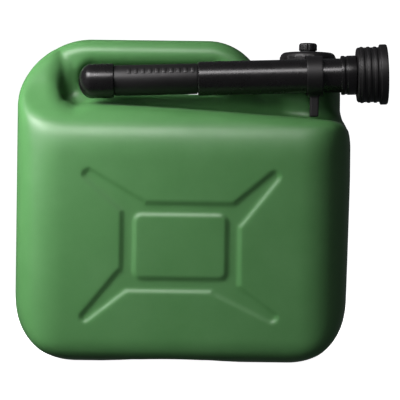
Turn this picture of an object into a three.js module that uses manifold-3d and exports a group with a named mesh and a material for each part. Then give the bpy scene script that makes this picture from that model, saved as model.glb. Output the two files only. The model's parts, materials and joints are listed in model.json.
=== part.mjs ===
// Blow-moulded fuel can with a screw cap and a stowed pouring spout.
// Millimetres, +Z up. X runs along the can, and the stowed spout lies on its -Y side.
import * as THREE from 'three';
import { mergeVertices } from 'three/addons/utils/BufferGeometryUtils.js';
import Module from 'manifold-3d';

const wasm = await Module();
wasm.setup();

// ---- driving dimensions ----
// X is measured from the middle of the can here, and the finished group is centred at the end.
const WALL = 2;
const HALF_DEPTH = 65;
const RIDGE_HALF = 22;
const RIDGE_TOP = 203;
const HANDLE_HALF = 17;
const HANDLE_TOP = 246.7;
const HANDLE_BEVEL = 6;
const GROOVE_DEPTH = 2.5;
const ARCH_HALF = 62;
const ARCH_RISE = 2.4;
const ROUND_STEPS = 4;

// Corner lists are [across, up, radius], anticlockwise.
const FRONT_OUTLINE = [
  [-127, 0, 40],
  [127, 0, 40],
  [128.5, 161, 18],
  [121.3, 187, 18],
  [121.3, RIDGE_TOP, 12],
  [62, RIDGE_TOP, 8],
  [62, HANDLE_TOP, 44.5],
  [-128.5, HANDLE_TOP, 50],
];
const TANK_PROFILE = [
  [-HALF_DEPTH, 0, 20],
  [HALF_DEPTH, 0, 20],
  [HALF_DEPTH, RIDGE_TOP, 50],
  [-HALF_DEPTH, RIDGE_TOP, 50],
];
const LEG_PROFILE = [
  [-58, 20, 20],
  [58, 20, 20],
  [58, 168.4, 20],
  [12, HANDLE_TOP, 6],
  [-12, HANDLE_TOP, 6],
  [-58, 168.4, 20],
];
const PLAN = [
  [-128.5, -HALF_DEPTH, 40],
  [128.5, -HALF_DEPTH, 40],
  [128.5, HALF_DEPTH, 40],
  [-128.5, HALF_DEPTH, 40],
];
const LEG_SPAN = [-130, -89.5];
const RECESS_OUTLINE = [
  [-90, 199.8, 8],
  [160, 181.4, 0],
  [160, 270, 0],
  [-90, 270, 0],
];
const HANDLE_OUTLINE = [
  [-127.9, 150, 0],
  [62, 150, 0],
  [62, HANDLE_TOP, 44.5],
  [-128.5, HANDLE_TOP, 50],
];
// A low web from the handle's foot to the neck.
const WEB_PROFILE = [
  [-HANDLE_HALF, 170, 0],
  [HANDLE_HALF, 170, 0],
  [HANDLE_HALF, 207.5, 6],
  [-HANDLE_HALF, 207.5, 6],
];
const WEB_SPAN = [45, 92];
const HAND_HOLE = [
  [-79, 204.8, 10],
  [31, 204.8, 10],
  [31, 226.5, 10],
  [-79, 226.5, 10],
];
const GROOVE_FRAME = [
  [-45.6, 54.6, 4],
  [42, 54.6, 4],
  [42, 119.6, 4],
  [-45.6, 119.6, 4],
];
const GROOVE_ISLAND = [
  [-36.5, 63.6, 6],
  [33.1, 63.6, 6],
  [33.1, 111.7, 6],
  [-36.5, 111.7, 6],
];
const GROOVE_ARMS = [
  [[-40, 112, 0], [-27.5, 119, 4], [-70.9, 145.8, 3.4], [-77.1, 141, 3.4], [-45, 116, 4]],
  [[36, 112, 0], [41.8, 102, 4], [73.8, 141.6, 3.4], [68.5, 145.6, 3.4], [39, 119, 4]],
  [[36, 60, 0], [21, 55, 4], [67.4, 31.4, 3], [73.8, 35.6, 3], [41.8, 58, 4]],
  [[-40, 60, 0], [-45.4, 71.4, 4], [-76.5, 34.5, 3], [-73.9, 29.3, 3], [-42, 55, 4]],
];

// Neck, cap and vent
const NECK_X = 95.4;
const PEDESTAL = { r: 25.5, top: 210, round: 3 };
const NECK = { bore: 15, root: 17.5, crest: 19, rim: 234.6 };
const THREAD = { pitch: 5, rootWidth: 2.4, crestWidth: 1.4, neckStart: 219.5, neckTurns: 1.75 };
const CAP = { r: 21.5, bore: 19.7, crest: 18.2, low: 215, ceiling: 236.7, top: 238.7, round: 3.6, ribs: 18 };
const LINER = { low: 234.9, high: 236.4, inner: 9, outer: 19.2 };
const BOSS = { r: 7.5, low: 228 };
const VENT = { root: 3, crest: 4, bore: 4.4, innerCrest: 3.4, pitch: 3, low: 226.5 };
const VENT_HEAD = { r: 7.1, low: 240.3, top: 246.2, lobes: 8 };
const VENT_SEAL = { low: 239, high: 240, inner: 4.4, outer: 6.6 };

// Spout, measured along its own axis from the point above the middle of the can
const SPOUT = { y: -38, z: 215.1, tilt: 2 };
const NOZZLE = { tip: -61.6, shoulder: -53.6, end: 9.4, plug: 24, r: 11.7, tipR: 11.2, plugR: 10.7, bore: 9 };
const BARREL = { start: 9.7, end: 119, r: 13, bore: 11, collarR: 15, collarEnd: 130.6 };
const BASE_FLANGE = { start: 133.4, end: 135.2, r: 18.9 };
const GASKET = { start: 135.6, end: 137.2, inner: 11.5, outer: 18.9 };
const NUT = { start: 131, wallEnd: 133, hole: 13.4, r: 20.9, bore: 19.7, end: 154 };
const NUT_RIBS = { starts: [133.2, 138.3, 143.4], width: 3, rise: 0.6 };
const NUT_FLANGE = { start: 148.4, r: 23 };
const END_CAP = { tip: -81, floor: -78.9, open: -54, r: 13.2, bore: 11.6 };
const CLIP = { start: 92.7, end: 104.9, inner: 13.6, outer: 15.3, ringIn: 18, ringOut: 23, ringLow: 210.4 };
const CLIP_LEG = { width: 6.6, back: -42, front: -34 };

// ---- outlines ----
// Moves every edge of an outline inwards by d (outwards when d is negative).
function inset(corners, d) {
  const n = corners.length;
  return corners.map(([x, y, r], i) => {
    const [px, py] = corners[(i + n - 1) % n];
    const [qx, qy] = corners[(i + 1) % n];
    const a = new THREE.Vector2(x - px, y - py).normalize();
    const b = new THREE.Vector2(qx - x, qy - y).normalize();
    const turn = a.x * b.y - a.y * b.x;
    const slide = (1 - a.dot(b)) / turn;
    const nx = x + d * (-a.y - a.x * slide);
    const ny = y + d * (a.x - a.y * slide);
    return [nx, ny, r === 0 ? 0 : Math.max(r - Math.sign(turn) * d, 0.5)];
  });
}

// Replaces each corner by a fillet of its own radius.
function roundedPoints(corners, steps = ROUND_STEPS) {
  const n = corners.length;
  const points = [];
  corners.forEach(([x, y, r], i) => {
    const corner = new THREE.Vector2(x, y);
    if (r === 0) {
      points.push(corner);
      return;
    }
    const before = new THREE.Vector2(...corners[(i + n - 1) % n]).sub(corner).normalize();
    const after = new THREE.Vector2(...corners[(i + 1) % n]).sub(corner).normalize();
    const half = Math.acos(THREE.MathUtils.clamp(before.dot(after), -1, 1)) / 2;
    const reach = r / Math.tan(half);
    const centre = before.clone().add(after).normalize().multiplyScalar(r / Math.sin(half)).add(corner);
    const start = corner.clone().addScaledVector(before, reach).sub(centre);
    const end = corner.clone().addScaledVector(after, reach).sub(centre);
    let sweep = end.angle() - start.angle();
    sweep -= 2 * Math.PI * Math.round(sweep / (2 * Math.PI));
    const count = Math.max(1, Math.round((steps * Math.abs(sweep)) / (Math.PI / 2)));
    for (let k = 0; k <= count; k++) {
      points.push(start.clone().rotateAround(new THREE.Vector2(), (sweep * k) / count).add(centre));
    }
  });
  return points;
}

// ---- geometry to solid and back ----
function welded(geometry) {
  const bare = geometry.clone();
  bare.deleteAttribute('normal');
  bare.deleteAttribute('uv');
  const merged = mergeVertices(bare, 1e-4);
  const index = merged.index.array;
  const kept = [];
  for (let i = 0; i < index.length; i += 3) {
    const [a, b, c] = [index[i], index[i + 1], index[i + 2]];
    if (a !== b && b !== c && c !== a) kept.push(a, b, c);
  }
  merged.setIndex(kept);
  return merged;
}

function solid(geometry) {
  const mesh = welded(geometry);
  return new wasm.Manifold(new wasm.Mesh({
    numProp: 3,
    vertProperties: new Float32Array(mesh.attributes.position.array),
    triVerts: new Uint32Array(mesh.index.array),
  }));
}

function geometryOf(manifold) {
  const mesh = manifold.getMesh();
  const geometry = new THREE.BufferGeometry();
  geometry.setAttribute('position', new THREE.BufferAttribute(new Float32Array(mesh.vertProperties), 3));
  geometry.setIndex(new THREE.BufferAttribute(new Uint32Array(mesh.triVerts), 1));
  return geometry;
}

const join = (...parts) => parts.reduce((sum, part) => sum.add(part));
const cut = (base, ...tools) => tools.reduce((rest, tool) => rest.subtract(tool), base);

// ---- basic solids ----
function prism(points, length) {
  return new THREE.ExtrudeGeometry(new THREE.Shape(points), { depth: length, bevelEnabled: false });
}

// An X-Z outline carried along Y from y0 to y1.
function alongY(points, y0, y1) {
  const geometry = prism(points, y1 - y0);
  geometry.rotateX(Math.PI / 2);
  geometry.translate(0, y1, 0);
  return solid(geometry);
}

// A Y-Z outline carried along X from x0 to x1.
function alongX(points, x0, x1) {
  const geometry = prism(points, x1 - x0);
  geometry.rotateX(Math.PI / 2);
  geometry.rotateZ(Math.PI / 2);
  geometry.translate(x0, 0, 0);
  return solid(geometry);
}

// An X-Y outline carried up from z0 to z1.
function alongZ(points, z0, z1) {
  const geometry = prism(points, z1 - z0);
  geometry.translate(0, 0, z0);
  return solid(geometry);
}

function block(x0, x1, y0, y1, z0, z1) {
  const geometry = new THREE.BoxGeometry(x1 - x0, y1 - y0, z1 - z0);
  geometry.translate((x0 + x1) / 2, (y0 + y1) / 2, (z0 + z1) / 2);
  return solid(geometry);
}

// Turned solid about the Z axis, from a closed list of [radius, height].
function turned(profile, segments) {
  const points = profile.map(([r, h]) => new THREE.Vector2(r, h));
  points.push(points[0].clone());
  const geometry = new THREE.LatheGeometry(points, segments);
  geometry.rotateX(Math.PI / 2);
  const made = solid(geometry);
  return made.volume() < 0 ? flipped(geometry) : made;
}

function flipped(geometry) {
  const mesh = welded(geometry);
  const index = Array.from(mesh.index.array);
  for (let i = 0; i < index.length; i += 3) {
    [index[i], index[i + 1]] = [index[i + 1], index[i]];
  }
  mesh.setIndex(index);
  return solid(mesh);
}

// A ridge wound round the Z axis: a long thin box bent into a helix that rises with +Z rotation.
function helicalRidge({ root, crest, rootWidth, crestWidth, pitch, turns, start, stepsPerTurn }) {
  const geometry = new THREE.BoxGeometry(1, 1, 1, Math.round(turns * stepsPerTurn), 1, 1);
  const position = geometry.attributes.position;
  for (let i = 0; i < position.count; i++) {
    const along = position.getX(i) + 0.5;
    const outer = position.getY(i) > 0;
    const angle = along * turns * 2 * Math.PI;
    const radius = outer ? crest : root;
    const width = outer ? crestWidth : rootWidth;
    const height = start + (pitch * angle) / (2 * Math.PI) + position.getZ(i) * width;
    position.setXYZ(i, radius * Math.cos(angle), radius * Math.sin(angle), height);
  }
  const ridge = solid(geometry);
  return ridge.volume() < 0 ? flipped(geometry) : ridge;
}

const atNeck = (part) => part.translate([NECK_X, 0, 0]);

// Turns a solid made about +Z into the spout's place: its Z becomes the distance along the spout.
const alongSpout = (part) => part.rotate([0, 90, 0]).rotate([0, -SPOUT.tilt, 0]).translate([0, SPOUT.y, SPOUT.z]);

// ---- can body ----
function canForm(d) {
  const front = alongY(roundedPoints(inset(FRONT_OUTLINE, d)), -80, 80);
  const plan = alongZ(roundedPoints(inset(PLAN, d)), -10, 260);
  const tank = alongX(roundedPoints(inset(TANK_PROFILE, d)), -140, 140);
  const leg = alongX(roundedPoints(inset(LEG_PROFILE, d)), LEG_SPAN[0], LEG_SPAN[1] - d);
  return join(tank, leg).intersect(front).intersect(plan);
}

// The handle's thickness is a core plate whose bevel rounds both the grip and the hand hole.
function handleForm(d) {
  const bevel = HANDLE_BEVEL - d;
  const outline = roundedPoints(inset(inset(HANDLE_OUTLINE, d), bevel));
  const hole = roundedPoints(inset(inset(HAND_HOLE, -d), -bevel), 3);
  const shape = new THREE.Shape(outline);
  shape.holes.push(new THREE.Path(hole));
  const depth = 2 * (HANDLE_HALF - d - bevel);
  const geometry = new THREE.ExtrudeGeometry(shape, {
    depth,
    bevelEnabled: true,
    bevelThickness: bevel,
    bevelSize: bevel,
    bevelSegments: 3,
  });
  geometry.rotateX(Math.PI / 2);
  geometry.translate(0, depth / 2, 0);
  return solid(geometry);
}

function webForm(d) {
  return alongX(roundedPoints(inset(WEB_PROFILE, d)), WEB_SPAN[0] + d, WEB_SPAN[1]);
}

function bothSides(part) {
  return join(part, part.rotate([0, 0, 180]));
}

function recessForm(d) {
  const points = roundedPoints(inset(RECESS_OUTLINE, -d));
  const front = alongY(points, -90, -RIDGE_HALF + d);
  return join(front, front.mirror([0, 1, 0]));
}

function grooveForm(d) {
  const outside = -HALF_DEPTH - 5;
  const floor = -HALF_DEPTH + GROOVE_DEPTH + d;
  const frame = alongY(roundedPoints(inset(GROOVE_FRAME, -d), 2), outside, floor);
  const island = alongY(roundedPoints(inset(GROOVE_ISLAND, d), 2), outside - 1, floor + 1);
  const arms = GROOVE_ARMS.map((arm) => {
    const order = THREE.ShapeUtils.isClockWise(arm.map(([x, y]) => ({ x, y }))) ? [...arm].reverse() : arm;
    return alongY(roundedPoints(inset(order, -d), 2), outside, floor);
  });
  return bothSides(join(cut(frame, island), ...arms));
}

function archForm(d) {
  const points = [];
  const steps = 6;
  for (let k = 0; k <= steps; k++) {
    const x = ARCH_HALF * (1 - (2 * k) / steps);
    points.push(new THREE.Vector2(x * (1 + d / ARCH_HALF), d + ARCH_RISE * (1 - (x / ARCH_HALF) ** 2)));
  }
  points.push(new THREE.Vector2(-ARCH_HALF - d, -9));
  points.push(new THREE.Vector2(ARCH_HALF + d, -9));
  return alongY(points, -80, 80);
}

function neckForm() {
  const pedestal = turned([
    [0, 175],
    [PEDESTAL.r, 175],
    [PEDESTAL.r, PEDESTAL.top - PEDESTAL.round],
    [PEDESTAL.r - 0.3 * PEDESTAL.round, PEDESTAL.top - 0.3 * PEDESTAL.round],
    [PEDESTAL.r - PEDESTAL.round, PEDESTAL.top],
    [0, PEDESTAL.top],
  ], 36);
  const tube = turned([
    [0, 205],
    [NECK.root, 205],
    [NECK.root, NECK.rim - 0.6],
    [NECK.root - 0.6, NECK.rim],
    [0, NECK.rim],
  ], 36);
  const ridge = helicalRidge({
    root: NECK.root - 0.6,
    crest: NECK.crest,
    rootWidth: THREAD.rootWidth,
    crestWidth: THREAD.crestWidth,
    pitch: THREAD.pitch,
    turns: THREAD.neckTurns,
    start: THREAD.neckStart,
    stepsPerTurn: 24,
  });
  return atNeck(join(pedestal, tube, ridge));
}

function cavity() {
  const tank = cut(canForm(WALL), recessForm(WALL), grooveForm(WALL), archForm(WALL));
  const clearOfRidge = alongY(roundedPoints(inset(FRONT_OUTLINE, WALL)), -80, 80);
  const handle = handleForm(WALL).intersect(clearOfRidge);
  const pedestalRoom = atNeck(turned([
    [0, 178],
    [PEDESTAL.r - WALL, 178],
    [PEDESTAL.r - WALL, PEDESTAL.top - 5],
    [NECK.bore, PEDESTAL.top - 2],
    [0, PEDESTAL.top - 2],
  ], 24));
  const bore = atNeck(turned([[0, 190], [NECK.bore, 190], [NECK.bore, 250], [0, 250]], 24));
  return join(tank, handle, webForm(WALL), pedestalRoom, bore);
}

function canBody() {
  const shell = cut(canForm(0), recessForm(0), grooveForm(0), archForm(0));
  return cut(join(shell, handleForm(0), webForm(0), neckForm()), cavity());
}

// ---- screw cap ----
function screwCap() {
  const { round } = CAP;
  const shell = turned([
    [VENT.bore, BOSS.low],
    [BOSS.r, BOSS.low],
    [BOSS.r, CAP.ceiling],
    [CAP.bore, CAP.ceiling],
    [CAP.bore, CAP.low],
    [CAP.r, CAP.low],
    [CAP.r, CAP.top - round],
    [CAP.r - 0.13 * round, CAP.top - 0.5 * round],
    [CAP.r - 0.5 * round, CAP.top - 0.13 * round],
    [CAP.r - round, CAP.top],
    [VENT.bore, CAP.top],
  ], 40);
  const ribs = [];
  for (let k = 0; k < CAP.ribs; k++) {
    const rib = block(CAP.r - 0.8, CAP.r + 0.45, -0.9, 0.9, CAP.low, CAP.top - round);
    ribs.push(rib.rotate([0, 0, (360 * k) / CAP.ribs]));
  }
  const thread = helicalRidge({
    root: CAP.crest,
    crest: CAP.bore + 0.5,
    rootWidth: THREAD.crestWidth,
    crestWidth: THREAD.rootWidth,
    pitch: THREAD.pitch,
    turns: 1.2,
    start: THREAD.neckStart + THREAD.pitch / 2,
    stepsPerTurn: 24,
  });
  const ventThread = helicalRidge({
    root: VENT.innerCrest,
    crest: VENT.bore + 0.4,
    rootWidth: 0.6,
    crestWidth: 1.1,
    pitch: VENT.pitch,
    turns: 2,
    start: BOSS.low + 1.5 + VENT.pitch / 2,
    stepsPerTurn: 14,
  });
  return atNeck(join(shell, ...ribs, thread, ventThread));
}

function capLiner() {
  return atNeck(turned([
    [LINER.inner, LINER.low],
    [LINER.outer, LINER.low],
    [LINER.outer, LINER.high],
    [LINER.inner, LINER.high],
  ], 36));
}

function ventScrew() {
  const head = turned([
    [0, VENT_HEAD.low],
    [VENT_HEAD.r, VENT_HEAD.low],
    [VENT_HEAD.r, VENT_HEAD.top - 1.6],
    [VENT_HEAD.r - 0.5, VENT_HEAD.top - 0.5],
    [VENT_HEAD.r - 1.8, VENT_HEAD.top],
    [0, VENT_HEAD.top],
  ], 24);
  const flutes = [];
  for (let k = 0; k < VENT_HEAD.lobes; k++) {
    const flute = new THREE.CylinderGeometry(0.9, 0.9, 12, 6);
    flute.rotateX(Math.PI / 2);
    flute.translate(VENT_HEAD.r + 0.2, 0, VENT_HEAD.top - 3);
    flutes.push(solid(flute).rotate([0, 0, (360 * k) / VENT_HEAD.lobes]));
  }
  const stem = turned([
    [0, VENT.low],
    [VENT.root - 0.8, VENT.low],
    [VENT.root, VENT.low + 0.8],
    [VENT.root, VENT_HEAD.low + 1],
    [0, VENT_HEAD.low + 1],
  ], 16);
  const thread = helicalRidge({
    root: VENT.root - 0.4,
    crest: VENT.crest,
    rootWidth: 1.2,
    crestWidth: 0.6,
    pitch: VENT.pitch,
    turns: 2.4,
    start: BOSS.low + 1.5,
    stepsPerTurn: 14,
  });
  return atNeck(join(cut(head, ...flutes), stem, thread));
}

function ventSeal() {
  const { low, high, inner, outer } = VENT_SEAL;
  return atNeck(turned([[inner, low], [outer, low], [outer, high], [inner, high]], 24));
}

// ---- spout ----
function spoutNozzle() {
  return alongSpout(turned([
    [NOZZLE.bore, NOZZLE.tip],
    [NOZZLE.tipR, NOZZLE.tip],
    [NOZZLE.tipR, NOZZLE.shoulder],
    [NOZZLE.r, NOZZLE.shoulder],
    [NOZZLE.r, NOZZLE.end],
    [NOZZLE.plugR, NOZZLE.end],
    [NOZZLE.plugR, NOZZLE.plug],
    [NOZZLE.bore, NOZZLE.plug],
  ], 32));
}

function spoutBarrel() {
  return alongSpout(turned([
    [BARREL.bore, BARREL.start],
    [BARREL.r - 1, BARREL.start],
    [BARREL.r, BARREL.start + 1],
    [BARREL.r, BARREL.end],
    [BARREL.collarR - 0.8, BARREL.end],
    [BARREL.collarR, BARREL.end + 0.8],
    [BARREL.collarR, BARREL.collarEnd],
    [BARREL.r, BARREL.collarEnd],
    [BARREL.r, BASE_FLANGE.start],
    [BASE_FLANGE.r, BASE_FLANGE.start],
    [BASE_FLANGE.r, BASE_FLANGE.end],
    [BARREL.bore, BASE_FLANGE.end],
  ], 32));
}

function spoutGasket() {
  const { start, end, inner, outer } = GASKET;
  return alongSpout(turned([[inner, start], [outer, start], [outer, end], [inner, end]], 32));
}

function spoutNut() {
  const profile = [
    [NUT.hole, NUT.start],
    [NUT.r - 1, NUT.start],
    [NUT.r, NUT.start + 1],
  ];
  for (const s of NUT_RIBS.starts) {
    profile.push([NUT.r, s], [NUT.r + NUT_RIBS.rise, s + 0.6]);
    profile.push([NUT.r + NUT_RIBS.rise, s + NUT_RIBS.width - 0.6], [NUT.r, s + NUT_RIBS.width]);
  }
  profile.push(
    [NUT.r, NUT_FLANGE.start],
    [NUT_FLANGE.r - 0.8, NUT_FLANGE.start],
    [NUT_FLANGE.r, NUT_FLANGE.start + 0.8],
    [NUT_FLANGE.r, NUT.end - 0.8],
    [NUT_FLANGE.r - 0.8, NUT.end],
    [NUT.bore, NUT.end],
    [NUT.bore, NUT.wallEnd],
    [NUT.hole, NUT.wallEnd],
  );
  const thread = helicalRidge({
    root: CAP.crest,
    crest: NUT.bore + 0.5,
    rootWidth: THREAD.crestWidth,
    crestWidth: THREAD.rootWidth,
    pitch: THREAD.pitch,
    turns: 1.75,
    start: GASKET.end + 4,
    stepsPerTurn: 24,
  });
  return alongSpout(join(turned(profile, 32), thread));
}

function spoutEndCap() {
  const dome = [];
  const steps = 5;
  for (let k = 0; k <= steps; k++) {
    const angle = (Math.PI / 2) * (k / steps);
    dome.push([END_CAP.r * Math.sin(angle), END_CAP.tip + 10 * (1 - Math.cos(angle))]);
  }
  return alongSpout(turned([
    ...dome,
    [END_CAP.r, END_CAP.open],
    [END_CAP.bore, END_CAP.open],
    [END_CAP.bore, END_CAP.floor + 8],
    [END_CAP.bore - 2.4, END_CAP.floor + 3],
    [END_CAP.bore - 7, END_CAP.floor],
    [0, END_CAP.floor],
  ], 32));
}

// One moulding: a ring under the cap, a loop round the spout and a leg down to the shoulder ledge.
function spoutClip() {
  const loop = alongSpout(turned([
    [CLIP.inner, CLIP.start],
    [CLIP.outer, CLIP.start],
    [CLIP.outer, CLIP.end],
    [CLIP.inner, CLIP.end],
  ], 32));
  const bore = alongSpout(turned([[0, 60], [CLIP.inner, 60], [CLIP.inner, 140], [0, 140]], 32));
  const ringHigh = CLIP.ringLow + 2;
  const ring = atNeck(turned([
    [CLIP.ringIn, CLIP.ringLow],
    [CLIP.ringOut, CLIP.ringLow],
    [CLIP.ringOut, ringHigh],
    [CLIP.ringIn, ringHigh],
  ], 32));
  const arm = block(CLIP.start + 0.5, CLIP.end - 0.5, -28, -21, CLIP.ringLow, ringHigh);
  const middle = (CLIP.start + CLIP.end) / 2;
  const half = CLIP_LEG.width / 2;
  const leg = block(middle - half, middle + half, CLIP_LEG.back, CLIP_LEG.front, 187.4, 207);
  return join(loop, ring, cut(join(arm, leg), bore));
}

// ---- assembly ----
const GREEN = { color: 0x4d8a49, roughness: 0.38, metalness: 0 };
const BLACK = { color: 0x1a1a1c, roughness: 0.42, metalness: 0 };
const SOFT = { color: 0x202022, roughness: 0.85, metalness: 0 };

const PIECES = {
  can_body: [canBody, GREEN],
  screw_cap: [screwCap, BLACK],
  cap_liner: [capLiner, SOFT],
  vent_screw: [ventScrew, BLACK],
  vent_seal: [ventSeal, SOFT],
  spout_clip: [spoutClip, BLACK],
  spout_barrel: [spoutBarrel, BLACK],
  spout_nozzle: [spoutNozzle, BLACK],
  spout_gasket: [spoutGasket, SOFT],
  spout_nut: [spoutNut, BLACK],
  spout_end_cap: [spoutEndCap, BLACK],
};

const can = new THREE.Group();
can.name = 'fuel_can';
for (const [name, [make, finish]] of Object.entries(PIECES)) {
  const mesh = new THREE.Mesh(geometryOf(make()), new THREE.MeshStandardMaterial(finish));
  mesh.name = name;
  can.add(mesh);
}

// The origin is the bottom centre of the whole assembly's bounding box.
const box = new THREE.Box3().setFromObject(can);
const middle = box.getCenter(new THREE.Vector3());
for (const mesh of can.children) {
  mesh.geometry.translate(-middle.x, -middle.y, -box.min.z);
  mesh.geometry.computeVertexNormals();
}

export default can;
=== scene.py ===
"""Looks for a blow-moulded fuel can with a screw cap and a stowed pouring spout, round its CAD frame."""

import json
import math

import bmesh
import bpy
import numpy as np
from mathutils import Matrix, Vector


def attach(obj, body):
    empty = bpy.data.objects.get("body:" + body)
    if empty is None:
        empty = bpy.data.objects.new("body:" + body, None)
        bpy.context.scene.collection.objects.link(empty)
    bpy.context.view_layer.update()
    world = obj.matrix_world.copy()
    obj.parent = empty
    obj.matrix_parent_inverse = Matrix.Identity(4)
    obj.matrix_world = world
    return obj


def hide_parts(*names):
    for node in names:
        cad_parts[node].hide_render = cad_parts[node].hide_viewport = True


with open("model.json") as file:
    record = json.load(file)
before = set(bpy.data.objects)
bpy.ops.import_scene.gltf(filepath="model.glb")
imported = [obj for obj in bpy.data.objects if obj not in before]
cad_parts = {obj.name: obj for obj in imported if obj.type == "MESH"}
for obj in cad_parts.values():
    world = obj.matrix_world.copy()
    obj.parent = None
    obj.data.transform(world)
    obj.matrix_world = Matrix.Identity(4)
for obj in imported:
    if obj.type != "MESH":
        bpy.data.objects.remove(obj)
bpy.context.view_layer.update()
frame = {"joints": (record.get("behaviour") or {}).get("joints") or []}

MM = 0.001
joints = {joint["name"]: joint for joint in frame["joints"]}


# ---------------------------------------------------------------- places, from the frame
# The can is measured in mm from its own middle, which lies SHIFT along X from the frame's origin.
NECK_X = 95.4
neck_at = Vector(joints["cap_turn"]["pos_m"]).xy.to_3d()
SHIFT = neck_at.x / MM - NECK_X
# The spout is measured along its axis from the point above the can's middle.
spout_axis = Vector(joints["nut_spin"]["axis"]).normalized()
SPOUT_TURN = spout_axis.to_track_quat("Z", "Y").to_matrix()
point_on_axis = Vector(joints["nut_spin"]["pos_m"])
spout_origin = point_on_axis - spout_axis * ((point_on_axis.x - SHIFT * MM) / spout_axis.x)

# ---------------------------------------------------------------- sizes of the can, in mm from its middle
HALF_LENGTH = 128.5
HALF_DEPTH = 65.0
RIDGE_HALF = 22.0
RIDGE_TOP = 203.0
HANDLE_HALF = 17.0
HANDLE_TOP = 246.7
HANDLE_END = 62.0
# The leg carries the handle's left end. Its sides lean in by LEG_LEAN from the upright.
LEG_END = -88.0
LEG_FOOT = 140.0
LEG_LEAN = math.radians(31)
LEG_REACH = 137.0
RECESS_START = -90.0
# The recess's floor falls towards the neck, and has the height RECESS_FLOOR at RECESS_MIDDLE.
RECESS_FLOOR = 197.7
RECESS_MIDDLE = -62.0
RECESS_FALL = 0.0748
PEDESTAL_RADIUS = 25.5
PEDESTAL_TOP = 210.0
ARCH_RISE = 2.7
ARCH_HALF = 60.0
WALL = 2.0
GROOVE_DEPTH = 1.5
# The width over which the front, side and top outlines run into each other.
BLEND = 9.0
SIDE = HALF_DEPTH + BLEND / 4


# ---------------------------------------------------------------- distance fields
def rmax(a, b, r):
    """Both a and b, with their meeting edge rounded to radius r."""
    return np.minimum(-r, np.maximum(a, b)) + np.hypot(np.maximum(a + r, 0), np.maximum(b + r, 0))


def rmin(a, b, r):
    """Either a or b, with a fillet of radius r where they meet."""
    return -rmax(-a, -b, r)


def smax(a, b, k):
    """Both a and b, blended over a width k."""
    h = np.clip(0.5 + 0.5 * (a - b) / k, 0, 1)
    return b + (a - b) * h + k * h * (1 - h)


def smoothstep(t):
    """0 below t = 0, 1 above t = 1, and an even S-shaped rise between them."""
    t = np.clip(t, 0, 1)
    return t * t * (3 - 2 * t)


def rounded_rect(u, v, low, high, radii):
    """Signed distance to a rectangle. Its corners' radii go low-low, high-low, high-high, low-high."""
    cu, cv = (low[0] + high[0]) / 2, (low[1] + high[1]) / 2
    hu, hv = (high[0] - low[0]) / 2, (high[1] - low[1]) / 2
    right, upper = u > cu, v > cv
    r = np.where(upper, np.where(right, radii[2], radii[3]), np.where(right, radii[1], radii[0]))
    qu, qv = np.abs(u - cu) - hu + r, np.abs(v - cv) - hv + r
    return np.minimum(np.maximum(qu, qv), 0) + np.hypot(np.maximum(qu, 0), np.maximum(qv, 0)) - r


def polygon(u, v, corners, r):
    """Signed distance to a convex polygon, anticlockwise, whose corners are rounded to radius r."""
    n = len(corners)
    shrunk = []
    for i in range(n):
        a, b, c = (np.array(corners[(i + k) % n], float) for k in (-1, 0, 1))
        d1, d2 = (b - a) / np.linalg.norm(b - a), (c - b) / np.linalg.norm(c - b)
        turn = d1[0] * d2[1] - d1[1] * d2[0]
        slide = (1 - d1 @ d2) / max(turn, 1e-6)
        shrunk.append(b + r * (np.array([-d1[1], d1[0]]) - d1 * slide))
    best = np.full(np.shape(u), np.inf)
    inside = np.full(np.shape(u), True)
    for i in range(n):
        a, b = shrunk[i], shrunk[(i + 1) % n]
        e = b - a
        t = np.clip(((u - a[0]) * e[0] + (v - a[1]) * e[1]) / (e @ e), 0, 1)
        gap = np.hypot(u - a[0] - t * e[0], v - a[1] - t * e[1])
        side = (e[0] * (v - a[1]) - e[1] * (u - a[0])) > 0
        best = np.minimum(best, gap)
        inside = inside & side
    return np.where(inside, -best, best) - r


# Each arm runs from a corner of the ring out towards a corner of the face, anticlockwise.
GROOVE_ARMS = (
    ((-38, 108), (-27.5, 120.5), (-70.9, 145.8), (-77.1, 141.0), (-48.5, 116.0)),
    ((33, 108), (42.2, 102.0), (73.8, 141.6), (68.5, 145.6), (38.5, 120.5)),
    ((33, 64), (20.0, 54.2), (67.4, 31.4), (73.8, 35.6), (42.6, 58.5)),
    ((-38, 64), (-46.4, 71.4), (-76.5, 34.5), (-73.9, 29.3), (-42.0, 54.2)),
)


def groove_pattern(x, z):
    """Signed distance, on the face, to the ring of grooves and its four arms."""
    ring = rounded_rect(x, z, (-46, 54.2), (42.6, 120.2), (4, 4, 4, 4))
    island = rounded_rect(x, z, (-36.5, 63.6), (33.1, 111.7), (5.5, 5.5, 5.5, 5.5))
    pattern = np.maximum(ring, -island)
    for arm in GROOVE_ARMS:
        pattern = np.minimum(pattern, polygon(x, z, arm, 3.0))
    return pattern


def front_outline(x, z):
    """The can seen from the front, without the free part of the handle."""
    # The right side leans in a little towards the foot.
    right_half = 125.6 + 3.4 * np.clip((z - 40) / 100, 0, 1)
    widened = x * np.where(x > 0, HALF_LENGTH / right_half, 1)
    tank = rounded_rect(widened, z, (-HALF_LENGTH, 0), (HALF_LENGTH, RIDGE_TOP), (49, 47, 40, 8))
    leg = rounded_rect(widened, z, (-HALF_LENGTH, 0), (HANDLE_END, HANDLE_TOP), (49, 40, 40, 56))
    return np.minimum(tank, rmax(leg, x - LEG_END, 16))


def side_outline(x, away, z):
    """The can seen from the side: round shoulders, out of which the leg rises at the left."""
    shoulders = rounded_rect(away, z, (-SIDE, -5), (SIDE, RIDGE_TOP), (24, 24, 50, 50))
    slope = away * math.cos(LEG_LEAN) + z * math.sin(LEG_LEAN) - LEG_REACH
    leg = np.maximum(rmax(slope, away - 50, 20), LEG_FOOT - z)
    at_leg = smoothstep((-82 - x) / 14 + 1.6 * smoothstep((z - 194) / 14))
    return shoulders + at_leg * (rmin(shoulders, leg, 12) - shoulders)


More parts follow.
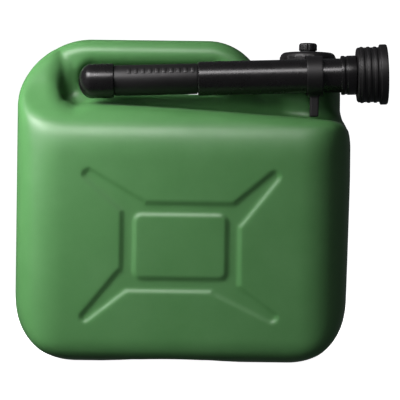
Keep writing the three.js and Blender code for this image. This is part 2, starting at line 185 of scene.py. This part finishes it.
def cut_recesses(body, x, away, z):
    """Takes out the room beside the ridge on either side, where the spout is stowed."""
    floor = RECESS_FLOOR - RECESS_FALL * (x - RECESS_MIDDLE)
    room = rmax(RECESS_START - x, floor - z, 8)
    room = rmax(room, RIDGE_HALF - away, 7)
    rounding = 8 + 10 * smoothstep((-66 - x) / 20)
    return rmax(body, -room, rounding)


def add_handle(body, x, away, z):
    """Joins on the handle, the web between its right end and the ridge, and opens the hand hole."""
    handle = rounded_rect(x, z, (0.2 - HALF_LENGTH, LEG_FOOT), (HANDLE_END, HANDLE_TOP), (0.1, 0.1, 44.5, 56))
    handle = rmax(handle, away - HANDLE_HALF, 12)
    # The fillet fades out where the handle and the leg share a surface.
    root = 8 * np.clip((x + 102) / 12, 0, 1) * np.clip((238 - z) / 15, 0, 1)
    body = rmin(body, handle, root + 0.01)
    web = np.maximum(rmax(z - 207.5, away - HANDLE_HALF, 6), np.maximum(45 - x, x - 92))
    body = rmin(body, web, 4 * np.clip((x - 60) / 3, 0, 1) + 0.01)
    hole = rounded_rect(x, z, (-79, 204.8), (31, 226.5), (10, 10, 10, 10))
    return rmax(body, -hole, 9)


def cut_grooves(body, x, away, z):
    """Presses the grooves into both faces, with walls that slope."""
    above_floor = HALF_DEPTH - GROOVE_DEPTH - away
    walls = 0.74 * (groove_pattern(x, z) + 0.9 * (above_floor + GROOVE_DEPTH / 2))
    return smax(body, -smax(walls, above_floor, 1.5), 1.2)


def can_field(x, y, z, inset=0.0):
    """Signed distance, in mm, to the can's outer surface, moved inwards by inset."""
    away = np.abs(y)
    plan = rounded_rect(x, y, (-133, -SIDE), (131, SIDE), (44, 44, 44, 44))
    body = smax(smax(front_outline(x, z), side_outline(x, away, z), BLEND), plan, BLEND)
    body = cut_recesses(body, x, away, z)
    body = add_handle(body, x, away, z)
    pedestal = rmax(np.hypot(x - NECK_X, y) - PEDESTAL_RADIUS, z - PEDESTAL_TOP, 3)
    body = rmin(body, np.maximum(pedestal, 150 - z), 5)
    arch = z - ARCH_RISE * np.clip(1 - ((x + 8) / ARCH_HALF) ** 2, 0, 1)
    body = np.maximum(body, -arch)
    return cut_grooves(body, x, away, z) + inset


# ---------------------------------------------------------------- meshing
def surface_nets(field_of, low, high, step):
    """Quads on a field's zero surface: one vertex in each cell that it crosses, then moved onto it."""
    axes = [np.arange(a, b + s, s, dtype=np.float32) for a, b, s in zip(low, high, step)]
    grid = np.meshgrid(*axes, indexing="ij")
    field = field_of(*grid).astype(np.float32)
    shape = np.array(field.shape) - 1
    total = np.zeros((*shape, 3), np.float32)
    count = np.zeros(shape, np.float32)

    def corner(dx, dy, dz):
        return field[dx:dx + shape[0], dy:dy + shape[1], dz:dz + shape[2]]

    offsets = [(i, j, k) for i in (0, 1) for j in (0, 1) for k in (0, 1)]
    for p in offsets:
        for axis in range(3):
            if p[axis]:
                continue
            q = tuple(1 if i == axis else c for i, c in enumerate(p))
            a, b = corner(*p), corner(*q)
            crossing = (a < 0) != (b < 0)
            t = np.where(crossing, a / np.where(crossing, a - b, 1), 0)
            for i in range(3):
                total[..., i] += np.where(crossing, p[i] + (t if i == axis else 0), 0)
            count += crossing
    used = count > 0
    index = np.full(shape, -1, np.int64)
    index[used] = np.arange(used.sum())
    cell = np.argwhere(used)
    points = (cell + total[used] / count[used][:, None]) * np.array(step) + np.array([a[0] for a in axes])

    quads = []
    for axis in range(3):
        u, v = (axis + 1) % 3, (axis + 2) % 3
        here = [slice(None)] * 3
        here[axis] = slice(0, -1)
        ahead = [slice(None)] * 3
        ahead[axis] = slice(1, None)
        a, b = field[tuple(here)] < 0, field[tuple(ahead)] < 0
        change_at = np.argwhere(a != b)
        past_start = (change_at[:, u] > 0) & (change_at[:, v] > 0)
        before_end = (change_at[:, u] < shape[u]) & (change_at[:, v] < shape[v])
        change_at = change_at[past_start & before_end]
        ring = []
        for du, dv in ((-1, -1), (0, -1), (0, 0), (-1, 0)):
            at = change_at.copy()
            at[:, u] += du
            at[:, v] += dv
            ring.append(index[at[:, 0], at[:, 1], at[:, 2]])
        quad = np.stack(ring, axis=1)
        inward = a[change_at[:, 0], change_at[:, 1], change_at[:, 2]]
        quad[~inward] = quad[~inward][:, ::-1]
        quads.append(quad)
    return onto_surface(field_of, points.astype(np.float64)), np.concatenate(quads)


def onto_surface(field_of, points, rounds=4, probe=0.05, longest=1.2):
    """Moves points along the field's slope until they lie on its zero surface."""
    for _ in range(rounds):
        distance = field_of(*points.T)
        slope = np.stack([
            (field_of(*(points + step).T) - field_of(*(points - step).T)) / (2 * probe)
            for step in probe * np.eye(3)], axis=1)
        move = distance[:, None] * slope / np.maximum((slope * slope).sum(1), 0.2)[:, None]
        length = np.linalg.norm(move, axis=1)
        points = points - move * np.minimum(1, longest / np.maximum(length, 1e-9))[:, None]
    return points


def mesh_object(name, points, faces):
    mesh = bpy.data.meshes.new(name)
    corners = [tuple(p) for p in np.asarray(points, float)]
    mesh.from_pydata(corners, [], [tuple(int(i) for i in face) for face in faces])
    mesh.validate()
    mesh.update()
    mesh.polygons.foreach_set("use_smooth", [True] * len(mesh.polygons))
    made = bpy.data.objects.new(name, mesh)
    bpy.context.scene.collection.objects.link(made)
    return made


# ---------------------------------------------------------------- turned and wound parts
def fillet(corners, steps=4, closed=True):
    """A list of (across, up, radius) corners as points, each corner replaced by its fillet."""
    out = []
    n = len(corners)
    for i, corner in enumerate(corners):
        x, y = corner[:2]
        r = corner[2] if len(corner) > 2 else 0
        if r <= 0 or (not closed and i in (0, n - 1)):
            out.append((x, y))
            continue
        p = Vector((x, y))
        a = (Vector(corners[i - 1][:2]) - p).normalized()
        b = (Vector(corners[(i + 1) % n][:2]) - p).normalized()
        half = math.acos(max(-1, min(1, a.dot(b)))) / 2
        reach = r / math.tan(half)
        centre = p + (a + b).normalized() * (r / math.sin(half))
        s, e = p + a * reach - centre, p + b * reach - centre
        sweep = math.atan2(s.x * e.y - s.y * e.x, s.dot(e))
        for k in range(steps + 1):
            cos, sin = math.cos(sweep * k / steps), math.sin(sweep * k / steps)
            out.append((centre.x + s.x * cos - s.y * sin, centre.y + s.x * sin + s.y * cos))
    return out


def lathe(profile, segments, wave=None):
    """Points and faces of a closed (radius, height) outline turned round +Z.

    wave(angle, radius, height), where given, says the radius to use instead.
    """
    points, faces = [], []
    n = len(profile)
    ring_of = []
    for r, h in profile:
        if r < 1e-6:
            ring_of.append([len(points)] * segments)
            points.append((0, 0, h))
            continue
        ring = []
        for k in range(segments):
            a = 2 * math.pi * k / segments
            radius = r if wave is None else wave(a, r, h)
            ring.append(len(points))
            points.append((radius * math.cos(a), radius * math.sin(a), h))
        ring_of.append(ring)
    for i in range(n):
        p, q = ring_of[i], ring_of[(i + 1) % n]
        for k in range(segments):
            m = (k + 1) % segments
            face = [p[k], p[m], q[m], q[k]]
            face = list(dict.fromkeys(face))
            if len(face) > 2:
                faces.append(face)
    return points, faces


def helix_ridge(root, crest, root_width, crest_width, pitch, turns, start, per_turn=64, fade=0.12):
    """Points and faces of a thread: a trapezoid wound round +Z that fades away at both ends."""
    count = int(turns * per_turn)
    points, faces = [], []
    for k in range(count + 1):
        t = k / count
        a = turns * 2 * math.pi * t
        h = start + pitch * a / (2 * math.pi)
        rise = min(1, t / fade, (1 - t) / fade)
        top = root + (crest - root) * max(rise, 0.06)
        for r, w in ((root, -root_width), (top, -crest_width), (top, crest_width), (root, root_width)):
            points.append((r * math.cos(a), r * math.sin(a), h + w / 2))
    for k in range(count):
        for c in range(4):
            d = (c + 1) % 4
            faces.append([4 * k + c, 4 * k + d, 4 * k + 4 + d, 4 * k + 4 + c])
    faces.append([3, 2, 1, 0])
    faces.append([4 * count, 4 * count + 1, 4 * count + 2, 4 * count + 3])
    return points, faces


def combined(*shapes):
    """Several (points, faces) pairs as one."""
    points, faces = [], []
    for p, f in shapes:
        base = len(points)
        points += [tuple(v) for v in p]
        faces += [[i + base for i in face] for face in f]
    return points, faces


def outward(obj):
    """Turns every face of the object to look outwards."""
    bm = bmesh.new()
    bm.from_mesh(obj.data)
    bmesh.ops.recalc_face_normals(bm, faces=bm.faces)
    bm.to_mesh(obj.data)
    bm.free()


def placed(name, shape, where, body, nodes, sharp=35):
    """A piece from points in mm, measured on the "neck" or the "spout", or "as is", riding on a body."""
    points, faces = shape
    points = np.asarray(points, float) * MM
    if where == "neck":
        points = points + np.array(neck_at)
    elif where == "spout":
        points = points @ np.array(SPOUT_TURN).T + np.array(spout_origin)
    made = mesh_object(name, points, faces)
    outward(made)
    made.data.set_sharp_from_angle(angle=math.radians(sharp))
    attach(made, body)
    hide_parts(*nodes)
    return made


# ---------------------------------------------------------------- camera
scene = bpy.context.scene
scene.view_settings.view_transform = "Standard"
CAMERA_AWAY = 1.7
camera_data = bpy.data.cameras.new("camera")
camera_data.sensor_width = 36
camera_data.lens = 196.2
camera_data.clip_start = 0.05
camera = bpy.data.objects.new("camera", camera_data)
scene.collection.objects.link(camera)
camera.location = (-0.0006, -CAMERA_AWAY, 0.123)
level = Matrix.Rotation(math.radians(90), 3, "X")
roll = Matrix.Rotation(math.radians(0.7), 3, "Z")
camera.rotation_euler = (level @ roll).to_euler()
scene.camera = camera


# ---------------------------------------------------------------- materials
def new_material(name):
    material = bpy.data.materials.new(name)
    material.use_nodes = True
    nodes, links = material.node_tree.nodes, material.node_tree.links
    return material, nodes, links, nodes["Principled BSDF"]


def noise(nodes, links, coords, scale, detail=3.0, roughness=0.5, stretch=None):
    made = nodes.new("ShaderNodeTexNoise")
    made.inputs["Scale"].default_value = scale
    made.inputs["Detail"].default_value = detail
    made.inputs["Roughness"].default_value = roughness
    source = coords
    if stretch:
        mapping = nodes.new("ShaderNodeMapping")
        mapping.inputs["Scale"].default_value = stretch
        links.new(coords, mapping.inputs["Vector"])
        source = mapping.outputs["Vector"]
    links.new(source, made.inputs["Vector"])
    return made.outputs["Fac"]


def ramp(nodes, links, value, stops):
    made = nodes.new("ShaderNodeValToRGB")
    elements = made.color_ramp.elements
    while len(elements) < len(stops):
        elements.new(0.5)
    for element, (at, colour) in zip(elements, stops):
        element.position = at
        element.color = (*colour, 1) if len(colour) == 3 else colour
    links.new(value, made.inputs["Fac"])
    return made.outputs["Color"]


def span(nodes, links, value, low, high, from_low=0.3, from_high=0.7):
    made = nodes.new("ShaderNodeMapRange")
    made.inputs["From Min"].default_value = from_low
    made.inputs["From Max"].default_value = from_high
    made.inputs["To Min"].default_value = low
    made.inputs["To Max"].default_value = high
    links.new(value, made.inputs["Value"])
    return made.outputs["Result"]


def mixed(nodes, links, fac, a, b):
    made = nodes.new("ShaderNodeMix")
    made.data_type = "RGBA"
    for value, socket in ((fac, "Factor"), (a, "A"), (b, "B")):
        same_name = [s for s in made.inputs if s.name == socket]
        target = next(s for s in same_name if s.type == "RGBA" or socket == "Factor")
        if isinstance(value, (tuple, float, int)):
            target.default_value = (*value, 1) if isinstance(value, tuple) else value
        else:
            links.new(value, target)
    return next(s for s in made.outputs if s.type == "RGBA")


def maths(nodes, links, operation, a, b=None):
    made = nodes.new("ShaderNodeMath")
    made.operation = operation
    for i, value in enumerate((a, b)):
        if value is None:
            continue
        if isinstance(value, (int, float)):
            made.inputs[i].default_value = value
        else:
            links.new(value, made.inputs[i])
    return made.outputs["Value"]


def bump(nodes, links, height, distance, strength, below=None):
    made = nodes.new("ShaderNodeBump")
    made.inputs["Distance"].default_value = distance
    made.inputs["Strength"].default_value = strength
    links.new(height, made.inputs["Height"])
    if below is not None:
        links.new(below, made.inputs["Normal"])
    return made.outputs["Normal"]


def green_plastic():
    """Blow-moulded polyethylene: satin, a little cloudy, slightly wavy, finely grained, with a mould seam."""
    material, nodes, links, shader = new_material("green_plastic")
    coords = nodes.new("ShaderNodeTexCoord").outputs["Object"]
    cloud = noise(nodes, links, coords, 9, 3)
    patches = noise(nodes, links, coords, 55, 4, 0.6)
    tone = ramp(nodes, links, cloud, [(0.3, (0.060, 0.172, 0.052)), (0.7, (0.071, 0.198, 0.063))])
    speckle = ramp(nodes, links, patches, [(0.35, (0.056, 0.165, 0.050)), (0.75, (0.079, 0.206, 0.070))])
    colour = mixed(nodes, links, 0.35, tone, speckle)
    # Scuffs gather on the feet and low edges.
    split = nodes.new("ShaderNodeSeparateXYZ")
    links.new(coords, split.inputs["Vector"])
    low = span(nodes, links, split.outputs["Z"], 1, 0, 0.0, 0.035)
    streaks = noise(nodes, links, coords, 60, 6, 0.75, (1, 1, 5))
    scuffed = span(nodes, links, streaks, 0, 1, 0.60, 0.72)
    scuff = maths(nodes, links, "MULTIPLY", low, scuffed)
    scuff_part = maths(nodes, links, "MULTIPLY", scuff, 0.25)
    colour = mixed(nodes, links, scuff_part, colour, (0.16, 0.30, 0.14))
    links.new(colour, shader.inputs["Base Color"])
    smears = noise(nodes, links, coords, 26, 5, 0.65)
    rough = span(nodes, links, smears, 0.33, 0.43)
    rough = maths(nodes, links, "ADD", rough, maths(nodes, links, "MULTIPLY", scuff, 0.2))
    links.new(rough, shader.inputs["Roughness"])
    wave = noise(nodes, links, coords, 16, 1)
    grain = noise(nodes, links, coords, 1500, 2)
    pits = noise(nodes, links, coords, 380, 3)
    seam_at = maths(nodes, links, "ABSOLUTE", split.outputs["Y"])
    seam = span(nodes, links, seam_at, 1, 0, 0.0, 0.0006)
    normal = bump(nodes, links, wave, 0.0012, 0.35)
    normal = bump(nodes, links, pits, 0.00012, 0.25, normal)
    normal = bump(nodes, links, grain, 0.00005, 0.3, normal)
    normal = bump(nodes, links, seam, 0.0003, 0.8, normal)
    links.new(normal, shader.inputs["Normal"])
    shader.inputs["IOR"].default_value = 1.51
    return material


def black_plastic(name, low, high, grain_strength, base=(0.0042, 0.0036, 0.0039)):
    """Injection-moulded plastic: satin, with a fine spark-eroded grain and handling smears."""
    material, nodes, links, shader = new_material(name)
    coords = nodes.new("ShaderNodeTexCoord").outputs["Object"]
    cloud = noise(nodes, links, coords, 40, 4, 0.6)
    lighter = tuple(c * 1.7 for c in base)
    links.new(ramp(nodes, links, cloud, [(0.3, base), (0.75, lighter)]), shader.inputs["Base Color"])
    smears = noise(nodes, links, coords, 70, 5, 0.65)
    links.new(span(nodes, links, smears, low, high), shader.inputs["Roughness"])
    grain = noise(nodes, links, coords, 1300, 2)
    slow = noise(nodes, links, coords, 60, 1)
    normal = bump(nodes, links, slow, 0.0004, 0.25)
    normal = bump(nodes, links, grain, 0.00006, grain_strength, normal)
    links.new(normal, shader.inputs["Normal"])
    shader.inputs["IOR"].default_value = 1.46
    return material


def rubber():
    """Matt sealing rubber with a dusty bloom."""
    material, nodes, links, shader = new_material("soft_rubber")
    coords = nodes.new("ShaderNodeTexCoord").outputs["Object"]
    bloom = noise(nodes, links, coords, 120, 4, 0.6)
    links.new(ramp(nodes, links, bloom, [(0.35, (0.014, 0.014, 0.015)), (0.8, (0.034, 0.034, 0.036))]),
              shader.inputs["Base Color"])
    links.new(span(nodes, links, bloom, 0.62, 0.82), shader.inputs["Roughness"])
    links.new(bump(nodes, links, noise(nodes, links, coords, 2200, 2), 0.00008, 0.4), shader.inputs["Normal"])
    return material


GREEN = green_plastic()
BLACK = black_plastic("black_plastic", 0.42, 0.52, 0.25)
BLACK_SMOOTH = black_plastic("black_plastic_barrel", 0.24, 0.31, 0.15)
BLACK_GRIP = black_plastic("black_plastic_grip", 0.42, 0.54, 0.5)
SOFT = rubber()


def finish_with(obj, material):
    obj.data.materials.clear()
    obj.data.materials.append(material)
    return obj


# ---------------------------------------------------------------- can body
NECK_WALL_MIDDLE = 16.3
NECK_FOOT = 195.0


def without_neck_hole(points, quads, above):
    """Drops the faces over the neck's bore, and puts the hole's rim on a circle inside the neck's wall."""
    radial = np.hypot(points[:, 0] - NECK_X, points[:, 1])
    covered = (radial < NECK_WALL_MIDDLE) & (points[:, 2] > above)
    drop = covered[quads].any(axis=1)
    rim = np.zeros(len(points), bool)
    rim[quads[drop].ravel()] = True
    rim &= ~covered
    scale = NECK_WALL_MIDDLE / np.maximum(radial, 1e-6)
    points = points.copy()
    points[rim, 0] = NECK_X + (points[rim, 0] - NECK_X) * scale[rim]
    points[rim, 1] = points[rim, 1] * scale[rim]
    quads = quads[~drop]
    used = np.unique(quads)
    new_index = np.full(len(points), -1)
    new_index[used] = np.arange(len(used))
    return points[used], new_index[quads]


def can_shell():
    """The can's hollow body, with an outer and an inner surface that meet at the neck."""
    step = ((1.5, 2.4, 1.5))
    low, high = (-131, -68, -3), (131, 68, 250)
    outer_points, outer_quads = surface_nets(can_field, low, high, step)
    outer_points, outer_quads = without_neck_hole(outer_points, outer_quads, NECK_FOOT)

    def lining(x, y, z):
        return can_field(x, y, z, WALL)

    inner_points, inner_quads = surface_nets(lining, low, high, (4.6, 4.6, 4.6))
    inner_points, inner_quads = without_neck_hole(inner_points, inner_quads[:, ::-1], NECK_FOOT)
    points = np.concatenate([outer_points, inner_points])
    quads = np.concatenate([outer_quads, inner_quads + len(outer_points)])
    points = (points + np.array([SHIFT, 0, 0])) * MM
    made = mesh_object("can_shell", points, quads)
    bm = bmesh.new()
    bm.from_mesh(made.data)
    rims = [e for e in bm.edges if e.is_boundary]
    bmesh.ops.bridge_loops(bm, edges=rims)
    bmesh.ops.recalc_face_normals(bm, faces=bm.faces)
    for face in bm.faces:
        face.smooth = True
    bm.to_mesh(made.data)
    bm.free()
    return made


# Outlines below are corners (radius, height, fillet) in mm, and each thread is wound on its own tube.
THREAD_PITCH = 5.0
VENT_PITCH = 3.0
neck_tube = lathe(fillet([
    (15, 202), (17.5, 202), (17.5, 212.2, 0.2), (19.3, 212.6, 0.5), (19.3, 213.6, 0.5), (17.5, 214.4, 0.3),
    (17.5, 234.6, 0.7), (15, 234.6, 0.9),
]), 96)
neck_thread = helix_ridge(17.3, 19.0, 2.4, 1.4, THREAD_PITCH, 1.75, 219.5)
can = finish_with(can_shell(), GREEN)
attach(can, "can")
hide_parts("can_body")
neck = placed("can_neck", combined(neck_tube, neck_thread), "neck", "can", ["can_body"])
finish_with(neck, GREEN)

# ---------------------------------------------------------------- screw cap and vent
CAP_RIBS = 18
CAP_RADIUS = 21.5


def cap_ribs(angle, r, h):
    """Raises flat-topped grip ribs on the cap's side."""
    if r < CAP_RADIUS - 0.2 or not 215.4 < h < 235.2:
        return r
    from_rib = abs((angle * CAP_RIBS / (2 * math.pi) + 0.5) % 1 - 0.5)
    across = from_rib * 2 * math.pi * CAP_RADIUS / CAP_RIBS
    return r + 0.45 * max(0.0, min(1.0, (1.25 - across) / 0.5))


cap_profile = fillet([
    (4.4, 228), (7.5, 228, 0.4), (7.5, 236.7, 0.5), (19.7, 236.7, 0.5), (19.7, 215, 0.2),
    (CAP_RADIUS, 215, 0.3), (CAP_RADIUS, 216, 0.1), (CAP_RADIUS, 234, 0.1), (CAP_RADIUS, 238.7, 4.0),
    (9.4, 238.7, 0.3), (8.9, 238.4, 0.3), (8.2, 238.4, 0.3), (7.8, 238.7, 0.3), (4.4, 238.7, 0.3),
], 6)
cap_thread = helix_ridge(20.0, 18.2, 2.4, 1.4, THREAD_PITCH, 1.2, 222.0)
vent_nut_thread = helix_ridge(4.7, 3.4, 1.1, 0.6, VENT_PITCH, 2.0, 231.0, 40)
cap = placed("cap_shell", combined(lathe(cap_profile, 252, cap_ribs), cap_thread, vent_nut_thread),
             "neck", "cap", ["screw_cap"])
finish_with(cap, BLACK)

liner = placed("cap_liner_disc", lathe(fillet([
    (9, 234.9, 0.3), (14.6, 234.9, 0.1), (15, 235.05, 0.1), (17.5, 235.05, 0.1), (17.9, 234.9, 0.1),
    (19.2, 234.9, 0.3), (19.2, 236.4, 0.3), (9, 236.4, 0.3),
], 3), 96), "neck", "liner", ["cap_liner"])
finish_with(liner, SOFT)

VENT_LOBES = 8


def vent_lobes(angle, r, h):
    """Presses finger hollows into the vent knob's side."""
    if r < 6.5 or h < 240.8:
        return r
    return r - 0.75 * max(0.0, math.cos(angle * VENT_LOBES)) ** 3


vent_head = lathe(fillet([
    (0, 226.5), (2.4, 226.5, 0.3), (3.0, 227.3, 0.3), (3.0, 240.3, 0.1), (6.7, 240.3, 0.3), (7.1, 240.7, 0.2),
    (7.1, 241.2, 0.2), (7.1, 246.2, 2.0), (3.4, 246.2, 0.4), (2.6, 245.7, 0.4), (0, 245.7),
], 6), 160, vent_lobes)
vent_thread = helix_ridge(2.9, 4.0, 1.2, 0.6, VENT_PITCH, 2.4, 229.5, 40)
vent = placed("vent_knob", combined(vent_head, vent_thread), "neck", "vent", ["vent_screw"])
finish_with(vent, BLACK)

seal_angles = np.linspace(0, 2 * math.pi, 16, endpoint=False)
seal_profile = [(5.5 + 1.1 * math.cos(a), 239.5 + 0.5 * math.sin(a)) for a in seal_angles]
vent_ring = placed("vent_o_ring", lathe(seal_profile, 72), "neck", "vent_ring", ["vent_seal"], 60)
finish_with(vent_ring, SOFT)

# ---------------------------------------------------------------- spout
NOZZLE_R = 11.7
nozzle_profile = fillet([
    (9, -61.6, 0.3), (11.2, -61.6, 0.6), (11.2, -53.6, 0.2), (NOZZLE_R, -53.6, 0.2), (NOZZLE_R, 9.4, 0.3),
    (10.7, 9.4, 0.2), (10.7, 24, 0.4), (9, 24, 0.4),
], 4)


def raised_bar(start, length, middle, width, rise):
    """Points and faces of a low bar on the nozzle, from start along it, centred on an angle round it."""
    points, faces = [], []
    levels = (
        (0, -0.3), (0, rise * 0.5), (0.35, rise), (length - 0.35, rise), (length, rise * 0.5), (length, -0.3),
    )
    steps = 8
    half = width / NOZZLE_R / 2
    for k in range(steps + 1):
        t = 2 * k / steps - 1
        for along, high in levels:
            edge = 1 if abs(t) < 0.99 or high < 0 else 0.4
            r = NOZZLE_R + high * edge
            a = middle + t * half
            points.append((r * math.cos(a), r * math.sin(a), start + along))
    n = len(levels)
    for k in range(steps):
        for c in range(n):
            d = (c + 1) % n
            faces.append([n * k + c, n * k + d, n * k + n + d, n * k + n + c])
    faces.append(list(range(n))[::-1])
    faces.append([n * steps + c for c in range(n)])
    return points, faces


def angle_round_spout(direction):
    """The angle round the spout's axis at which a direction of the frame lies."""
    turned = SPOUT_TURN.transposed() @ Vector(direction)
    return math.atan2(turned.y, turned.x)


up_angle = angle_round_spout((0, 0, 1))
front_angle = angle_round_spout((0, -1, 0))
swing = (front_angle - up_angle + math.pi) % (2 * math.pi) - math.pi
BAR_COUNT, BAR_START, BAR_PITCH, BAR_LENGTH = 10, -44, 5.4, 3.2
bars = [
    raised_bar(BAR_START + BAR_PITCH * k, BAR_LENGTH, up_angle + 0.62 * swing, 5.0, 0.4)
    for k in range(BAR_COUNT)
]
nozzle = placed("nozzle_tube", combined(lathe(nozzle_profile, 128), *bars),
                "spout", "spout", ["spout_nozzle"], 50)
finish_with(nozzle, BLACK_GRIP)

barrel_profile = [
    (11, 9.7, 0.4), (12.2, 9.7, 0.4), (13, 10.9, 0.5), (13, 119, 0.6), (15, 119, 0.7), (15, 121.4, 0.4),
    (14.5, 122, 0.3), (14.5, 123.2, 0.3), (15, 123.8, 0.4), (15, 130.6, 0.6), (13, 130.6, 0.3),
    (13, 133.4, 0.3), (18.9, 133.4, 0.4), (18.9, 135.2, 0.4), (11, 135.2, 0.4),
]
barrel = placed("barrel_tube", lathe(fillet(barrel_profile, 5), 144),
                "spout", "spout", ["spout_barrel"], 50)
finish_with(barrel, BLACK_SMOOTH)

gasket = placed("base_gasket", lathe(fillet([
    (11.5, 135.6, 0.4), (18.9, 135.6, 0.4), (18.9, 137.2, 0.4), (11.5, 137.2, 0.4),
], 4), 96), "spout", "spout", ["spout_gasket"], 60)
finish_with(gasket, SOFT)

nut_profile = [(13.4, 131, 0.3), (20.0, 131, 0.5), (20.9, 131.9, 0.4)]
for at in (133.2, 138.3, 143.4):
    nut_profile += [(20.9, at, 0.5), (21.5, at + 0.7, 0.6), (21.5, at + 2.3, 0.6), (20.9, at + 3.0, 0.5)]
nut_profile += [
    (20.9, 148.4, 0.5), (22.6, 148.4, 0.5), (23, 149, 0.4), (23, 153.2, 0.6), (22.3, 154, 0.5),
    (19.7, 154, 0.5), (19.7, 133, 0.6), (13.4, 133, 0.3),
]
nut_thread = helix_ridge(20.0, 18.2, 2.4, 1.4, THREAD_PITCH, 1.75, 141.2)
nut = placed("nut_shell", combined(lathe(fillet(nut_profile, 5), 160), nut_thread),
             "spout", "nut", ["spout_nut"], 50)
finish_with(nut, BLACK)

DOME_RADIUS, DOME_TIP, DOME_RISE = 13.2, -81, 10
dome = [(DOME_RADIUS * math.sin(a), DOME_TIP + DOME_RISE * (1 - math.cos(a)))
        for a in np.linspace(0, math.pi / 2, 20)]
skirt_and_socket = fillet([
    (DOME_RADIUS, -70), (DOME_RADIUS, -54, 0.6), (11.6, -54, 0.4), (11.6, -70.9, 2), (9.2, -75.9, 3),
    (4.6, -78.9, 1), (0, -78.9),
], 5, closed=False)
end_cap_profile = dome + skirt_and_socket[1:]
end_cap = placed("end_cap_shell", lathe(end_cap_profile, 128),
                 "spout", "end_cap", ["spout_end_cap"], 50)
finish_with(end_cap, BLACK_SMOOTH)


# ---------------------------------------------------------------- clip
def clip_field(x, y, z):
    """Signed distance to the clip: a loop round the spout, a ring round the neck, an arm and a leg."""
    ax, ay, az = spout_axis
    ox, oy, oz = (spout_origin / MM) - Vector((SHIFT, 0, 0))
    along = (x - ox) * ax + (y - oy) * ay + (z - oz) * az
    radial = np.sqrt(np.maximum((x - ox) ** 2 + (y - oy) ** 2 + (z - oz) ** 2 - along ** 2, 0))
    loop = rounded_rect(along, radial, (92.7, 13.6), (104.9, 15.3), (0.5, 0.5, 0.5, 0.5))
    ring = rounded_rect(np.hypot(x - NECK_X, y), z, (18, 210.4), (23, 212.4), (0.6, 0.6, 0.6, 0.6))
    arm = smax(smax(np.abs(x - 98.8) - 5.6, np.abs(y + 24.5) - 3.5, 0.8), np.abs(z - 211.4) - 1.0, 0.8)
    leg = smax(smax(np.abs(x - 98.8) - 3.3, np.abs(y + 38) - 4.0, 1.0), np.abs(z - 197.2) - 9.8, 1.0)
    whole = rmin(rmin(loop, leg, 1.6), rmin(ring, arm, 1.2), 1.2)
    return np.maximum(whole, 13.6 - radial)


clip_step = ((0.62, 0.62, 0.62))
clip_points, clip_quads = surface_nets(clip_field, (72, -56, 184), (123, 26, 236), clip_step)
clip_points = clip_points + np.array([SHIFT, 0, 0])
clip = placed("clip_band", (clip_points, clip_quads), "as is", "can", ["spout_clip"], 40)
finish_with(clip, BLACK)


# ---------------------------------------------------------------- floor, backdrop and light
def glowing(name, strength):
    """A white surface that gives off its own light."""
    material, _, _, shader = new_material(name)
    shader.inputs["Base Color"].default_value = (0.9, 0.9, 0.9, 1)
    shader.inputs["Emission Color"].default_value = (1, 1, 1, 1)
    shader.inputs["Emission Strength"].default_value = strength
    return material


def only_seen(obj):
    """The camera sees it, and it neither lights the object nor shows in its reflections."""
    obj.visible_diffuse = False
    obj.visible_glossy = False
    obj.visible_transmission = False
    obj.visible_shadow = False


bpy.ops.mesh.primitive_plane_add(size=9, location=(0, 0, -0.0004))
floor = bpy.context.object
floor.name = "floor"
finish_with(floor, glowing("floor_white", 1.0))
only_seen(floor)
bpy.ops.mesh.primitive_uv_sphere_add(radius=6, segments=48, ring_count=24)
backdrop = bpy.context.object
backdrop.name = "backdrop"
finish_with(backdrop, glowing("backdrop_white", 1.0))
only_seen(backdrop)

world = bpy.data.worlds.new("world")
scene.world = world
world.use_nodes = True
world.node_tree.nodes["Background"].inputs["Color"].default_value = (0.9, 0.95, 1.0, 1)
world.node_tree.nodes["Background"].inputs["Strength"].default_value = 0.08


def softbox(name, place, target, size, power, colour):
    """A rectangular light at a place, facing a target."""
    data = bpy.data.lights.new(name, "AREA")
    data.shape = "RECTANGLE"
    data.size, data.size_y = size
    data.energy = power
    data.color = colour
    made = bpy.data.objects.new(name, data)
    scene.collection.objects.link(made)
    made.location = place
    made.rotation_euler = (Vector(place) - Vector(target)).to_track_quat("Z", "Y").to_euler()
    made.visible_camera = False
    return made


softbox("key", (-0.98, -0.86, 1.14), (-0.02, 0, 0.16), (0.75, 0.5), 14, (1.0, 0.985, 0.99))
left_light = softbox("left", (-0.42, -0.25, 0.36), (-0.05, 0, 0.12), (0.25, 0.4), 5.2, (0.96, 0.99, 1.0))
left_light.visible_glossy = False
# A long strip that only draws the highlights along the shoulder, the handle and the spout.
strip = softbox("strip", (-0.51, -1.15, 1.22), (-0.11, 0, 0.2), (1.26, 0.42), 22, (1.0, 0.97, 0.985))
strip.visible_diffuse = False
# A weak light behind, so that the back can be made out.
back_light = softbox("back", (-0.25, 0.95, 0.5), (0, 0, 0.12), (0.7, 0.5), 5, (1, 1, 1))
back_light.visible_glossy = False
